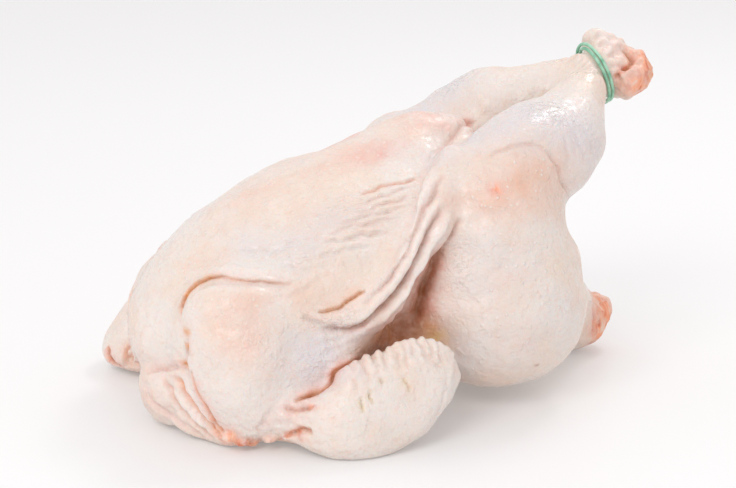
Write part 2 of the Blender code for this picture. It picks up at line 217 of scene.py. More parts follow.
# Each fold: its path, width and depth (a negative depth is a ridge), the lip on one side of it
# (positive to the left when walking the path), and the stains it carries as (strength, width);
# the crease colour is painted shade in a groove, and pale along a ridge is partly painted highlight
webFolds = [
    dict(path=[(0.2, -2.5, 12.1), (-0.9, -3.6, 11.6), (-1.7, -4.3, 11.0), (-2.4, -5.1, 10.4),
               (-3.0, -5.9, 9.6), (-3.8, -6.5, 8.6), (-5.0, -7.0, 7.4), (-6.4, -7.1, 6.6),
               (-7.6, -7.0, 6.2)],
         width=0.22, depth=0.2, lip=0.1, rosy=(0.18, 0.4)),
    dict(path=[(-0.6, -4.2, 11.6), (-1.5, -4.9, 10.9), (-2.3, -5.5, 10.1), (-3.2, -6.3, 9.1),
               (-3.9, -6.7, 8.3), (-4.9, -7.0, 7.5), (-6.2, -7.1, 6.6), (-7.6, -7.0, 6.0)],
         width=0.26, depth=-0.14, pale=(0.9, 0.32)),
    dict(path=[(-0.8, -4.9, 11.5), (-1.5, -5.3, 10.9), (-2.2, -5.7, 10.2), (-3.0, -6.2, 9.3),
               (-3.6, -6.6, 8.5), (-4.3, -6.9, 7.8), (-5.3, -7.1, 7.0), (-6.3, -7.2, 6.4)],
         width=0.14, depth=0.34, rosy=(0.45, 0.16), crease=(0.4, 0.08)),
    dict(path=[(-1.3, -5.7, 10.6), (-2.1, -6.0, 9.9), (-2.9, -6.4, 9.0), (-3.5, -6.8, 8.1),
               (-4.3, -7.0, 7.4), (-5.3, -7.2, 6.6), (-6.5, -7.3, 5.9), (-7.5, -7.0, 5.6)],
         width=0.22, depth=-0.24, pale=(1.0, 0.24)),
    dict(path=[(-1.4, -6.0, 10.3), (-2.0, -6.2, 9.7), (-2.6, -6.5, 8.9), (-3.2, -6.8, 8.0),
               (-3.9, -7.0, 7.2), (-4.7, -7.2, 6.6), (-5.6, -7.3, 6.0), (-6.4, -7.3, 5.5),
               (-7.3, -7.1, 5.3), (-8.2, -6.9, 5.6)],
         width=0.14, depth=0.44, rosy=(0.45, 0.2), crease=(0.7, 0.09)),
    dict(path=[(-0.9, -6.1, 10.1), (-1.6, -6.3, 9.4), (-2.3, -6.5, 8.6), (-3.0, -6.7, 7.6),
               (-3.7, -7.0, 6.9), (-4.5, -7.2, 6.2), (-5.3, -7.2, 5.6)],
         width=0.2, depth=-0.24, pale=(0.9, 0.24)),
    dict(path=[(-0.5, -6.2, 9.7), (-0.9, -6.2, 9.1), (-1.3, -6.3, 8.5), (-1.7, -6.1, 7.7)],
         width=0.15, depth=0.3, crease=(0.6, 0.13), rosy=(0.35, 0.3), fade=0.5),
    dict(path=[(-1.2, -6.3, 8.7), (-1.6, -6.1, 8.0), (-2.0, -5.9, 7.1), (-2.3, -5.7, 6.2),
               (-2.6, -5.7, 5.3), (-3.0, -5.7, 4.5)],
         width=0.26, depth=0.55, crease=(0.75, 0.35), rosy=(0.7, 0.7), fade=0.3),
    dict(path=[(-3.1, -6.2, 6.5), (-3.5, -6.2, 5.6), (-4.2, -6.3, 4.8), (-5.0, -6.5, 4.3)],
         width=0.2, depth=0.22, crease=(0.5, 0.3)),
    dict(path=[(-3.8, -6.8, 6.1), (-4.4, -6.9, 5.3), (-5.2, -7.1, 4.7)],
         width=0.22, depth=-0.14, rosy=(0.5, 0.4)),
    dict(path=[(-5.9, -6.8, 7.0), (-6.5, -6.7, 6.7), (-7.4, -6.7, 6.4), (-8.2, -6.6, 6.3)],
         width=0.1, depth=0.24, lip=-0.12, amber=(0.8, 0.1), crease=(0.5, 0.08), blush=(0.6, 0.4)),
    dict(path=[(-9.0, -6.7, 6.3), (-8.6, -6.8, 5.9), (-8.0, -7.0, 5.7)],
         width=0.14, depth=0.16, crease=(0.2, 0.15)),
    dict(path=[(-6.7, -7.1, 5.4), (-7.5, -6.9, 5.2), (-8.5, -6.9, 5.1)],
         width=0.12, depth=-0.09, pale=(0.9, 0.1)),
    dict(path=[(-6.6, -7.2, 5.0), (-7.5, -7.1, 4.8), (-8.4, -7.1, 4.6)],
         width=0.12, depth=-0.08, pale=(0.7, 0.1)),
    dict(path=[(-6.9, -7.3, 4.6), (-7.6, -7.3, 4.4), (-8.4, -7.4, 4.1)],
         width=0.12, depth=-0.07, pale=(0.6, 0.09)),
]

shoulderFolds = [
    dict(path=[(-8.9, -5.6, 7.4), (-9.9, -5.3, 7.5), (-11.1, -5.0, 7.7), (-12.0, -4.1, 7.8),
               (-12.5, -3.4, 7.5), (-13.0, -3.0, 7.0), (-13.3, -2.9, 6.4), (-13.5, -3.2, 5.8),
               (-13.8, -4.2, 5.3)],
         width=0.1, depth=0.12, lip=-0.22, amber=(0.45, 0.09), rosy=(0.35, 0.25), pale=(0.3, 0.6),
         fade=0.12),
    dict(path=[(-11.7, -4.4, 7.8), (-12.2, -3.7, 7.7), (-12.6, -3.3, 7.4), (-13.0, -3.0, 7.0),
               (-13.3, -2.9, 6.4), (-13.5, -3.2, 5.8)],
         width=0.09, depth=0.1, amber=(1.0, 0.13), crease=(0.25, 0.08), fade=0.3),
    dict(path=[(-13.8, -4.3, 5.5), (-13.9, -4.6, 4.8), (-13.8, -4.3, 4.1), (-13.8, -4.2, 3.6)],
         width=0.16, depth=0.25, rosy=(0.4, 0.3)),
    dict(path=[(-13.8, -4.9, 3.8), (-13.7, -5.3, 3.0), (-13.4, -5.6, 2.2), (-13.1, -5.7, 1.5),
               (-12.7, -5.9, 0.9)],
         width=0.17, depth=0.42, lip=0.12, raw=(0.5, 0.15), amber=(0.8, 0.17), crease=(0.3, 0.12),
         rosy=(0.6, 0.4)),
    dict(path=[(-14.5, -1.3, 2.7), (-14.2, -2.4, 3.2), (-13.9, -3.7, 3.6), (-13.8, -4.8, 3.8)],
         width=0.2, depth=0.3, lip=-0.1, rosy=(0.5, 0.35)),
    dict(path=[(-14.0, -2.2, 4.1), (-13.9, -3.1, 4.2), (-13.8, -3.8, 4.0)],
         width=0.13, depth=0.12, lip=-0.08),
    dict(path=[(-14.0, -3.6, 3.2), (-13.9, -4.0, 2.6), (-13.6, -4.7, 1.8), (-13.2, -5.3, 1.2),
               (-12.8, -5.7, 0.7)],
         width=0.17, depth=0.42, rosy=(0.45, 0.2), raw=(0.5, 0.13), amber=(0.5, 0.13), wander=0.05),
    dict(path=[(-14.2, -2.7, 2.9), (-14.1, -3.2, 2.2), (-13.8, -3.9, 1.4), (-13.3, -4.8, 0.8),
               (-12.9, -5.2, 0.4)],
         width=0.16, depth=0.34, rosy=(0.4, 0.2), amber=(0.3, 0.1), wander=0.05),
    dict(path=[(-14.4, -1.7, 1.9), (-14.2, -2.6, 1.2), (-13.7, -3.8, 0.7), (-13.0, -4.6, 0.35)],
         width=0.18, depth=0.26, rosy=(0.35, 0.24), wander=0.05),
    dict(path=[(-14.0, -3.3, 2.5), (-13.7, -4.2, 1.6), (-13.2, -5.0, 0.9)],
         width=0.2, depth=-0.18, pale=(1.0, 0.22)),
    dict(path=[(-14.0, -4.3, 2.8), (-13.6, -5.1, 2.0), (-13.1, -5.6, 1.2)],
         width=0.18, depth=-0.16, pale=(0.9, 0.2)),
    dict(path=[(-6.4, -7.2, 3.9), (-7.3, -7.7, 3.9), (-8.0, -7.7, 3.6), (-8.6, -7.9, 3.1),
               (-9.2, -7.8, 2.9), (-10.0, -7.7, 2.6)],
         width=0.12, depth=0.34, lip=-0.1, crease=(0.95, 0.1), amber=(0.6, 0.12), raw=(0.7, 0.12),
         rosy=(0.7, 0.4)),
    dict(path=[(-10.4, -7.6, 2.3), (-9.9, -8.0, 2.2), (-9.4, -8.4, 2.4)],
         width=0.14, depth=0.24, raw=(0.5, 0.12), crease=(0.4, 0.08), wander=0.05),
    dict(path=[(-11.6, -7.0, 1.0), (-11.2, -7.2, 1.6), (-10.9, -7.4, 2.2)],
         width=0.16, depth=0.12, rosy=(0.3, 0.3)),
    dict(path=[(-10.5, -7.5, 0.9), (-10.1, -8.2, 1.2), (-9.6, -8.8, 1.5)],
         width=0.16, depth=0.32, raw=(0.7, 0.16), crease=(0.5, 0.1), wander=0.05),
]

thighFolds = [
    dict(path=[(1.3, -5.6, 12.3), (1.9, -5.6, 12.6), (2.8, -5.8, 12.8), (3.8, -6.0, 12.7),
               (4.3, -6.2, 12.3)],
         width=0.13, depth=0.14, lip=0.08, blush=(0.4, 0.2)),
    dict(path=[(4.2, -6.2, 12.4), (4.7, -6.3, 11.7), (5.1, -6.1, 10.8), (5.8, -5.3, 9.8)],
         width=0.16, depth=0.24, lip=-0.12, blush=(0.4, 0.25)),
    dict(path=[(5.4, -5.7, 13.1), (5.4, -6.0, 12.3), (5.8, -6.0, 11.4)],
         width=0.14, depth=0.07, lip=0.05),
    dict(path=[(6.0, -5.6, 13.3), (6.2, -5.8, 12.5), (6.6, -5.8, 11.7)],
         width=0.14, depth=0.07, lip=0.05),
    dict(path=[(6.7, -5.4, 13.4), (6.9, -5.6, 12.6), (7.3, -5.5, 11.9)],
         width=0.14, depth=0.06, lip=0.04),
    dict(path=[(-0.4, -6.4, 9.2), (0.3, -6.6, 9.6), (1.2, -7.0, 9.9), (2.2, -7.2, 10.0)],
         width=0.3, depth=0.08, blush=(0.25, 0.5)),
]

breastFolds = [
    dict(path=[(-1.6, -3.9, 11.2), (-2.6, -3.8, 11.05), (-3.7, -3.7, 10.95), (-4.6, -3.7, 10.7)],
         width=0.1, depth=0.13, lip=-0.07, rosy=(0.6, 0.08), amber=(0.4, 0.07)),
    dict(path=[(-2.0, -4.2, 10.9), (-3.0, -4.1, 10.75), (-3.9, -4.1, 10.55), (-4.8, -4.3, 10.3)],
         width=0.11, depth=0.1, lip=-0.07, rosy=(0.25, 0.09)),
    dict(path=[(-2.5, -4.5, 10.6), (-3.4, -4.5, 10.4), (-4.3, -4.4, 10.2), (-5.2, -4.6, 10.0)],
         width=0.11, depth=0.12, lip=-0.07, rosy=(0.3, 0.08)),
    dict(path=[(-2.9, -4.9, 10.2), (-4.1, -4.7, 10.0), (-5.2, -4.7, 9.9), (-6.3, -4.7, 9.6)],
         width=0.12, depth=0.12, lip=-0.08, rosy=(0.1, 0.09)),
    dict(path=[(-3.4, -5.1, 9.8), (-4.6, -5.0, 9.7), (-5.8, -4.9, 9.6), (-6.9, -4.8, 9.3)],
         width=0.12, depth=0.12, lip=-0.08, rosy=(0.1, 0.09)),
    dict(path=[(-3.9, -5.5, 9.3), (-5.1, -5.3, 9.25), (-6.2, -5.2, 9.1), (-7.2, -5.0, 9.0)],
         width=0.14, depth=0.16, lip=-0.08),
    dict(path=[(-5.0, -5.7, 8.9), (-6.3, -5.6, 8.7), (-7.6, -5.4, 8.6)],
         width=0.14, depth=0.13, lip=-0.07),
    dict(path=[(-7.1, -5.8, 8.1), (-8.3, -5.5, 8.0), (-9.3, -4.9, 8.2)],
         width=0.15, depth=0.08, lip=-0.05),
    dict(path=[(-8.1, -4.6, 9.0), (-9.2, -4.2, 8.75), (-10.1, -3.5, 8.7), (-10.6, -2.7, 8.9)],
         width=0.15, depth=0.08, lip=-0.05),
    dict(path=[(-7.7, -5.9, 7.7), (-8.7, -6.0, 7.2), (-9.5, -6.0, 6.9)],
         width=0.16, depth=0.09, lip=-0.05),
]

for wrinkle in breastFolds:
    wrinkle["wander"] = foldMaking["wrinkleWander"]

# Folds that aren't mirrored
middleFolds = [
    dict(path=[(1.6, 2.7, 12.6), (2.4, 2.6, 12.4), (3.2, 2.3, 12.3), (3.9, 1.8, 12.3), (4.4, 1.2, 12.3)],
         width=0.18, depth=0.3, crease=(0.5, 0.12), rosy=(0.9, 0.3)),
    dict(path=[(4.2, 0.9, 12.4), (3.2, -0.1, 12.6), (2.4, -0.7, 12.5), (1.7, -1.3, 12.3),
               (0.7, -2.3, 12.2), (-0.2, -2.9, 11.9)],
         width=0.16, depth=0.2, rosy=(0.55, 0.16), crease=(0.2, 0.08)),
    dict(path=[(-13.6, 7.3, 1.5), (-13.5, 6.9, 1.0), (-13.2, 6.6, 0.7), (-12.8, 6.2, 0.6)],
         width=0.14, depth=0.2, crease=(0.7, 0.1), raw=(0.8, 0.15), rosy=(0.6, 0.4)),
    dict(path=[(11.2, -1.1, 14.5), (11.7, -1.2, 14.9), (12.2, -1.1, 15.2), (12.5, -0.7, 15.5),
               (12.4, -0.2, 15.9)],
         width=0.15, depth=0.44, raw=(1.0, 0.17), crease=(0.9, 0.1), rosy=(0.5, 0.4)),
    dict(path=[(9.4, -1.6, 3.4), (10.0, -1.7, 2.6), (10.2, -1.7, 1.7), (10.0, -1.6, 0.9)],
         width=0.2, depth=0.25, lip=-0.12, rosy=(0.6, 0.3)),
    dict(path=[(10.4, -0.4, 3.2), (10.9, -0.7, 2.4), (11.0, -0.9, 1.5)],
         width=0.14, depth=0.16, raw=(0.6, 0.2)),
    dict(path=[(10.3, 0.4, 3.1), (10.8, 0.5, 2.3), (10.9, 0.5, 1.4)],
         width=0.14, depth=0.16, raw=(0.6, 0.2)),
]


# How much of each stain and each painted shade there is on this side
def sideShare(name, side):
    return skinForm["farFaint"].get(name, 1.0) if side == farSide else 1.0


# The path's samples on the skin, with the skin's direction, the way along and the way to the left
def layPath(path, side, wander):
    length = sum((Vector(b) - Vector(a)).length for a, b in zip(path, path[1:]))
    count = max(8, round(length / foldMaking["spacing"]))
    found = [skinTree.find_nearest(at(*point, side)) for point in smoothLine(path, count)]
    line = np.array([hit[0] for hit in found])
    upwards = np.array([hit[1] for hit in found])
    for _ in range(foldMaking["evening"]):
        line[1:-1] = (line[:-2] + 2 * line[1:-1] + line[2:]) / 4
        upwards[1:-1] = (upwards[:-2] + 2 * upwards[1:-1] + upwards[2:]) / 4
    upwards /= np.linalg.norm(upwards, axis=1)[:, None]
    along = np.gradient(line, axis=0)
    along /= np.linalg.norm(along, axis=1)[:, None]
    left = np.cross(upwards, along) * side
    walked = np.linspace(0, length, count) * 2 * math.pi / foldMaking["wanderLength"]
    walked += foldMaking["wanderStart"] * path[0][0]
    share, quickness = foldMaking["wanderSecond"]
    line += left * (wander * gridStep * (np.sin(walked) + share * np.sin(quickness * walked)))[:, None]
    return line, upwards, along, left


# The vertices near a path, with the nearest sample and the distance to it
def skinNear(line, upwards, reach):
    low, high = line.min(0) - reach, line.max(0) + reach
    near = np.nonzero(((places > low) & (places < high)).all(1))[0]
    gaps = ((places[near, None, :] - line[None]) ** 2).sum(2)
    nearest = gaps.argmin(1)
    apart = np.sqrt(gaps[np.arange(len(near)), nearest])
    sameWay = (facing[near] * upwards[nearest]).sum(1) > foldMaking["sameWay"]
    kept = (apart < reach) & sameWay
    return near[kept], nearest[kept], apart[kept]


# A groove or ridge along a path, fading at both ends, with its lip, its stains and the painted shade and
# highlight it carries
def pressFold(fold, side):
    strength = skinForm["farStrength"] if side == farSide else 1.0
    line, upwards, along, left = layPath(fold["path"], side, fold.get("wander", foldMaking["wander"]))
    width = fold["width"] * gridStep
    widest = max([width] + [fold[name][1] * gridStep for name in stainsAndShade if name in fold])
    near, nearest, apart = skinNear(line, upwards, foldMaking["reach"] * widest)
    share = nearest / (len(line) - 1)
    fade = fold.get("fade", foldMaking["fade"])
    taper = np.clip(np.minimum(share, 1 - share) / fade, 0.0, 1.0) ** foldMaking["fadeCurve"]
    change, quickness, start = foldMaking["swayDepth"]
    sway = foldMaking["evenDepth"] + change * np.sin(share * quickness + start * line[0, 0] / gridStep)
    amount = strength * taper * sway * gridStep
    push = upwards[nearest] * (-fold["depth"] * amount * np.exp(-((apart / width) ** 2)))[:, None]
    lip = fold.get("lip", 0.0)
    if lip:
        offset = places[near] - line[nearest]
        across = (offset * left[nearest]).sum(1) * math.copysign(1, lip) / width
        beyond = (offset * along[nearest]).sum(1) / width
        crown = np.exp(-(((across - foldMaking["lipPlace"]) / foldMaking["lipWidth"]) ** 2) - beyond ** 2)
        lean = left[nearest] * math.copysign(foldMaking["overhang"], lip)
        push += (upwards[nearest] - lean) * (abs(lip) * amount * crown)[:, None]
    np.add.at(shift, near, push)
    for name, mask in stainsAndShade.items():
        if name in fold:
            power, spread = fold[name]
            worth = power * sideShare(name, side) * strength * taper
            worth *= np.exp(-((apart / (spread * gridStep)) ** 2))
            mask[near] = np.maximum(mask[near], worth)


# A rounded rise in the skin
def raiseBead(middle, radius, height):
    gaps = ((places - np.array(middle)) ** 2).sum(1) / (radius * gridStep) ** 2
    shift[:] += facing * (height * gridStep * np.exp(-gaps))[:, None]


# Where the end of the breast swells between the drumsticks: the middle, the radius and the height
swells = [((0.6, 0.3, 12.9), 2.3, 0.55), ((2.4, 0.8, 12.6), 1.5, 0.35)]

wingFolds = {
    "edge": [(-7.5, -8.5, 3.7), (-6.3, -8.4, 4.2), (-5.1, -8.5, 4.5), (-4.1, -8.6, 4.6), (-3.1, -8.7, 4.2),
             (-2.5, -8.8, 3.6)],
    "run": (-0.7, -0.95),  # outwards and down, from the edge over the wing's outer face
    "stops": (-0.4, 0.0, 0.35, 0.7, 1.0),  # a ridge's points as shares of its run, from behind the edge
    "fan": 0.7,  # how far the last ridges lean towards the tip
    "upright": 0.3,  # the share of the edge where a ridge runs straight down
    "length": (0.75, 0.35, 2.3),  # a run's middle length, how much it changes and how quickly
    "bead": (0.17, 0.15),  # the radius and height of the quill bumps on the edge
    "crest": (0.3, 0.2),  # inwards and up, from the path's edge to the wing's own crest
    "ridge": dict(width=0.15, depth=-0.12, pale=(0.35, 0.18), wander=0.08, fade=0.3),
    "valley": dict(width=0.12, depth=0.1, blush=(0.3, 0.13), wander=0.08, fade=0.3),
    "slits": (0, 1, 2, 4),  # the valleys that are deep enough to be open
    "slitPlace": (0.6, -0.5, -0.6),  # leaning, outwards and down from its valley
    "slit": dict(width=0.1, depth=0.18, lip=-0.1, crease=(0.2, 0.09), fat=(0.5, 0.14), wander=0.08,
                 fade=0.35),
    "tip": dict(path=[(-2.7, -9.1, 3.3), (-3.2, -9.4, 2.6), (-3.4, -9.5, 1.9), (-4.2, -9.6, 1.2)],
                width=0.13, depth=0.09, lip=0.06),
}


# Ridges run down from the quill bumps on the wing's edge, with a valley or an open slit between two of them
def pressWing(side, forward):
    count = wingQuills["count"] * 2 - 1
    out, fall = wingFolds["run"]
    inward, up = wingFolds["crest"]
    middle, change, quickness = wingFolds["length"]
    slitLean, slitOut, slitDown = wingFolds["slitPlace"]
    for i, (x, y, z) in enumerate(smoothLine(wingFolds["edge"], count)):
        lean = wingFolds["fan"] * (i / count - wingFolds["upright"])
        length = middle + change * math.sin(i * quickness)
        path = [(x - forward + lean * t * length, y + out * t * length, z + fall * t * length)
                for t in wingFolds["stops"]]
        kind = "ridge" if i % 2 == 0 else "valley"
        pressFold(dict(wingFolds[kind], path=path), side)
        if kind == "ridge":
            crest = skinTree.find_nearest(at(x - forward, y + inward, z + up, side))[0]
            raiseBead(crest, *wingFolds["bead"])
        elif (i - 1) // 2 in wingFolds["slits"]:
            low = [(x + lean * slitLean, y + slitOut, z + slitDown) for x, y, z in path[2:]]
            pressFold(dict(wingFolds["slit"], path=low), side)
    tip = [(x - forward, y, z) for x, y, z in wingFolds["tip"]["path"]]
    pressFold(dict(wingFolds["tip"], path=tip), side)


hockGathers = {
    "centre": (10.8, 0.0, 14.55),
    "tilt": 22.0,
    "halfWidth": 1.3,
    "halfHeight": 1.6,
    "count": 15,
    "uneven": (0.25, 5.1),  # how far a gather strays from even spacing, and how quickly that changes
    "run": (-1.5, -0.25),  # before the band, along the hocks' own axis
    "beyond": (0.3, 1.3),  # and after it
    "flare": 0.15,  # how far a gather's end stands out from its start
    "fold": dict(width=0.15, depth=0.14, lip=0.05, fade=0.4),
}


# Small gathers where the band pinches the skin
def pressGathers():
    tilt = math.radians(hockGathers["tilt"])
    ahead = Vector((math.cos(tilt), 0, math.sin(tilt)))
    upright = Vector((-math.sin(tilt), 0, math.cos(tilt)))
    middle = Vector(hockGathers["centre"])
    stray, quickness = hockGathers["uneven"]
    for i in range(hockGathers["count"]):
        turn = 2 * math.pi * (i + stray * math.sin(i * quickness)) / hockGathers["count"]
        ring = Vector((0, math.cos(turn) * hockGathers["halfWidth"], 0))
        ring += upright * math.sin(turn) * hockGathers["halfHeight"]
        for start, end in (hockGathers["run"], hockGathers["beyond"]):
            path = [
                tuple(middle + ring * (1 + hockGathers["flare"] * t) + ahead * (start + (end - start) * t))
                for t in (0, 0.5, 1)
            ]
            pressFold(dict(hockGathers["fold"], path=path), nearSide)


# Soft spots of colour: the stain, its middle, its radii along x, y and z, and its strength; the crease spots
# are painted shade, and pale spots are partly painted highlight
spots = [
    ("blush", (-12.1, -6.4, 5.9), (1.5, 1.4, 1.7), 0.6),
    ("blush", (-11.2, -6.1, 7.0), (1.3, 1.0, 0.8), 0.45),
    ("rosy", (-11.6, -7.0, 5.4), (0.5, 0.6, 0.7), 0.2),
    ("blush", (2.8, -6.6, 11.1), (2.4, 1.6, 1.6), 0.85),
    ("blush", (1.0, -6.7, 10.6), (1.6, 1.2, 1.0), 0.55),
    ("blush", (-0.6, -5.6, 10.6), (1.0, 1.2, 1.0), 0.35),
    ("raw", (1.1, -6.7, 11.0), (0.26, 0.4, 0.24), 0.6),
    ("rosy", (1.1, -6.7, 10.95), (0.34, 0.6, 0.3), 1.0),
    ("lilac", (1.6, -3.2, 12.9), (1.6, 1.4, 1.2), 0.7),
    ("rosy", (-2.7, -1.4, 12.1), (1.6, 0.9, 0.8), 0.65),
    ("rosy", (0.8, -0.6, 12.7), (1.9, 1.1, 0.7), 0.4),
    ("blush", (-5.0, -1.2, 11.7), (2.6, 1.2, 1.0), 0.35),
    ("blush", (-8.7, -0.5, 10.5), (2.2, 1.4, 1.2), 0.3),
    ("blush", (-4.5, -4.6, 10.0), (2.4, 1.2, 1.0), 0.2),
    ("blush", (-8.9, -6.0, 7.0), (1.3, 1.0, 0.8), 0.3),
    ("lilac", (3.5, -4.2, 13.4), (3.2, 2.2, 1.6), 0.9),
    ("lilac", (6.5, -5.0, 12.6), (2.4, 2.0, 2.2), 1.0),
    ("lilac", (-0.2, -3.6, 12.0), (1.5, 1.2, 1.0), 0.5),
    ("lilac", (-8.7, -7.3, 4.3), (1.7, 1.0, 1.5), 1.0),
    ("lilac", (-8.3, -4.8, 8.9), (1.6, 1.2, 1.0), 0.55),
    ("lilac", (-6.3, -4.3, 9.8), (1.6, 1.0, 0.9), 0.5),
    ("lilac", (-10.0, -3.2, 9.0), (1.2, 1.2, 1.0), 0.5),
    ("lilac", (-7.2, -7.2, 5.2), (1.5, 0.8, 0.8), 0.7),
    ("lilac", (-7.3, -8.4, 3.6), (0.6, 0.5, 0.4), 0.6),
    ("lilac", (2.0, -7.0, 4.0), (3.0, 2.0, 1.8), 0.45),
    ("lilac", (0.4, -7.0, 7.0), (1.8, 1.5, 2.0), 0.5),
    ("pale", (-0.6, -6.8, 7.2), (1.0, 1.0, 1.6), 0.7),
    ("pale", (-12.2, -6.9, 2.8), (1.3, 1.0, 1.3), 0.6),
    ("pale", (-14.1, -3.0, 2.0), (1.2, 2.0, 1.8), 0.45),
    ("pale", (-5.6, -9.3, 1.8), (2.2, 0.8, 1.2), 0.5),
    # Painted shade: dark brown and amber in the pocket between the web, the wing and the thigh
    ("crease", (-1.6, -6.1, 7.9), (0.45, 0.6, 0.7), 0.35),
    ("crease", (-2.1, -5.8, 6.6), (0.6, 0.7, 0.9), 0.5),
    ("crease", (-2.6, -5.7, 5.3), (0.8, 0.8, 1.0), 0.6),
    ("crease", (-3.6, -5.9, 4.4), (1.2, 1.2, 0.9), 1.0),
    ("crease", (-5.0, -6.4, 4.1), (1.2, 1.2, 0.7), 1.0),
    ("crease", (-6.2, -7.0, 4.0), (0.6, 0.8, 0.4), 0.8),
    ("crease", (-4.5, -6.2, 4.0), (1.7, 0.9, 0.5), 1.0),
    ("amber", (-4.6, -6.3, 4.5), (1.9, 0.9, 0.6), 0.7),
    ("amber", (-2.2, -5.9, 4.4), (0.7, 0.8, 0.8), 0.6),
    ("rosy", (-2.6, -5.7, 5.6), (1.3, 1.0, 1.9), 0.8),
    ("rosy", (-4.6, -6.8, 4.9), (1.4, 0.9, 0.7), 0.6),
    ("fat", (-1.8, -6.0, 4.0), (0.5, 0.6, 0.5), 0.9),
    ("blush", (-1.9, -6.1, 3.6), (0.9, 0.8, 0.7), 0.8),
    # Painted shade: an amber and dark brown line down the groove at the shoulder
    ("amber", (-13.8, -4.5, 5.5), (0.12, 0.3, 0.2), 1.0),
    ("amber", (-13.9, -4.6, 4.8), (0.12, 0.3, 0.17), 1.0),
    ("crease", (-13.9, -4.6, 4.6), (0.1, 0.3, 0.12), 0.7),
    ("amber", (-13.8, -4.0, 3.8), (0.14, 0.3, 0.14), 1.0),
    ("amber", (-3.7, -5.8, 4.1), (1.3, 0.9, 0.8), 0.5),
    ("creped", (-4.6, -4.4, 10.2), (2.8, 1.6, 1.1), 1.0),
    ("creped", (-8.6, -4.8, 8.6), (2.4, 1.6, 1.1), 0.8),
    ("creped", (-8.0, -7.2, 4.4), (1.8, 1.2, 1.2), 0.8),
    ("rosy", (-14.6, -1.6, 1.9), (0.9, 1.3, 1.2), 0.22),
    ("blush", (-14.3, -2.0, 1.2), (1.0, 1.4, 0.9), 0.25),
    ("raw", (-12.5, -5.9, 0.8), (0.45, 0.6, 0.5), 0.85),
    ("raw", (-11.8, -6.2, 0.4), (0.7, 0.6, 0.35), 1.0),
    # Painted shade between the torn ends under the shoulder
    ("crease", (-11.5, -6.2, 0.4), (0.4, 0.4, 0.25), 0.7),
    ("raw", (-10.6, -7.1, 0.6), (0.6, 0.5, 0.25), 0.8),
    ("raw", (-10.0, -8.2, 1.0), (0.4, 0.5, 0.2), 0.45),
    ("raw", (-9.5, -8.5, 2.5), (0.25, 0.35, 0.12), 0.6),
    ("rosy", (-10.2, -7.8, 2.1), (0.9, 0.8, 0.7), 0.35),
    # Painted shade: two thin dark lines low on the thigh and on the wing
    ("crease", (2.8, -7.9, 2.4), (0.07, 0.3, 0.06), 0.9),
    ("crease", (-6.5, -9.8, 2.6), (0.06, 0.3, 0.06), 0.9),
    ("raw", (11.2, -0.6, 2.3), (0.9, 1.0, 1.1), 0.85),
    ("raw", (10.7, -1.2, 1.2), (0.8, 0.8, 0.9), 0.8),
    ("raw", (10.9, 0.7, 1.8), (0.8, 0.9, 1.1), 0.75),
    ("blush", (10.4, -0.9, 2.0), (1.3, 1.4, 1.6), 0.8),
    ("raw", (13.3, -0.7, 14.8), (0.9, 1.2, 1.2), 0.9),
    ("raw", (12.3, -1.6, 14.2), (0.9, 0.7, 0.5), 0.75),
    ("raw", (12.9, -1.2, 13.8), (0.8, 0.8, 0.5), 0.7),
    ("amber", (13.6, -0.7, 14.4), (0.6, 1.0, 0.8), 0.35),
    ("blush", (12.6, -0.8, 14.8), (1.4, 1.2, 1.0), 1.0),
    ("rosy", (12.3, -1.0, 14.2), (1.3, 1.0, 0.7), 0.6),
    ("rosy", (11.9, 0.2, 16.0), (1.1, 0.9, 0.7), 0.25),
    ("pale", (11.6, 0.0, 15.8), (0.8, 0.9, 0.7), 0.5),
    ("wet", (5.2, -4.5, 13.8), (1.5, 1.3, 1.2), 1.0),
    ("wet", (9.2, -1.5, 14.9), (0.8, 0.8, 0.7), 0.8),
    ("wet", (-8.6, -7.4, 4.2), (1.6, 1.0, 1.2), 0.45),
    ("wet", (-7.6, -7.0, 5.9), (1.6, 0.8, 0.6), 0.9),
    ("wet", (-0.8, -6.6, 7.6), (0.7, 0.8, 1.8), 0.8),
    ("wet", (-11.4, -6.9, 5.3), (0.8, 0.8, 0.7), 0.5),
    ("goose", (2.6, -7.0, 6.3), (4.3, 3.5, 4.3), 1.0),
    ("goose", (3.0, -6.5, 11.0), (3.2, 2.0, 2.2), 0.9),
    ("goose", (6.2, -4.8, 12.6), (2.6, 2.4, 2.2), 0.7),
    ("goose", (-5.5, -1.5, 11.6), (3.5, 2.0, 1.0), 0.3),
]


spotOverlap = 0.35  # how much of the weaker stain is added where two of a kind meet


# A stain that fades outwards from its middle
def addSpot(name, middle, radii, strength, side):
    gaps = (places - np.array(at(*middle, side))) / (np.array(radii) * gridStep)
    worth = strength * sideShare(name, side) * np.exp(-(gaps ** 2).sum(1))
    stainsAndShade[name][:] = np.maximum(stainsAndShade[name], worth) + spotOverlap * np.minimum(stainsAndShade[name], worth)


# Crumpled places: the middle, the radii, the length of a crumple and its height
crumples = [
    ((12.4, -0.3, 15.2), (1.6, 1.8, 1.7), 0.6, 0.07),
    ((12.9, -0.7, 14.8), (1.0, 1.2, 1.2), 0.35, 0.04),
    ((10.9, 0.0, 1.9), (1.3, 1.9, 1.9), 0.55, 0.07),
    ((-14.1, -2.6, 1.8), (1.2, 2.6, 1.9), 0.9, 0.035),
    ((-11.7, -6.4, 0.6), (1.8, 1.0, 0.5), 0.4, 0.07),
    ((-9.9, -7.9, 1.9), (1.0, 0.9, 1.0), 0.55, 0.06),
    ((-4.2, -6.2, 5.0), (1.6, 1.2, 1.5), 0.7, 0.04),
]

# Slow waves that keep the skin from looking turned: a few plane waves of each length in different directions
skinWaves = {
    "seed": 11,
    "lengths": ((4.0, 0.07), (1.9, 0.035), (0.9, 0.014)),  # grid steps, height
    "each": 7,
    "still": 0.8,  # the underside, up to this height in grid steps, stays flat on the table
}


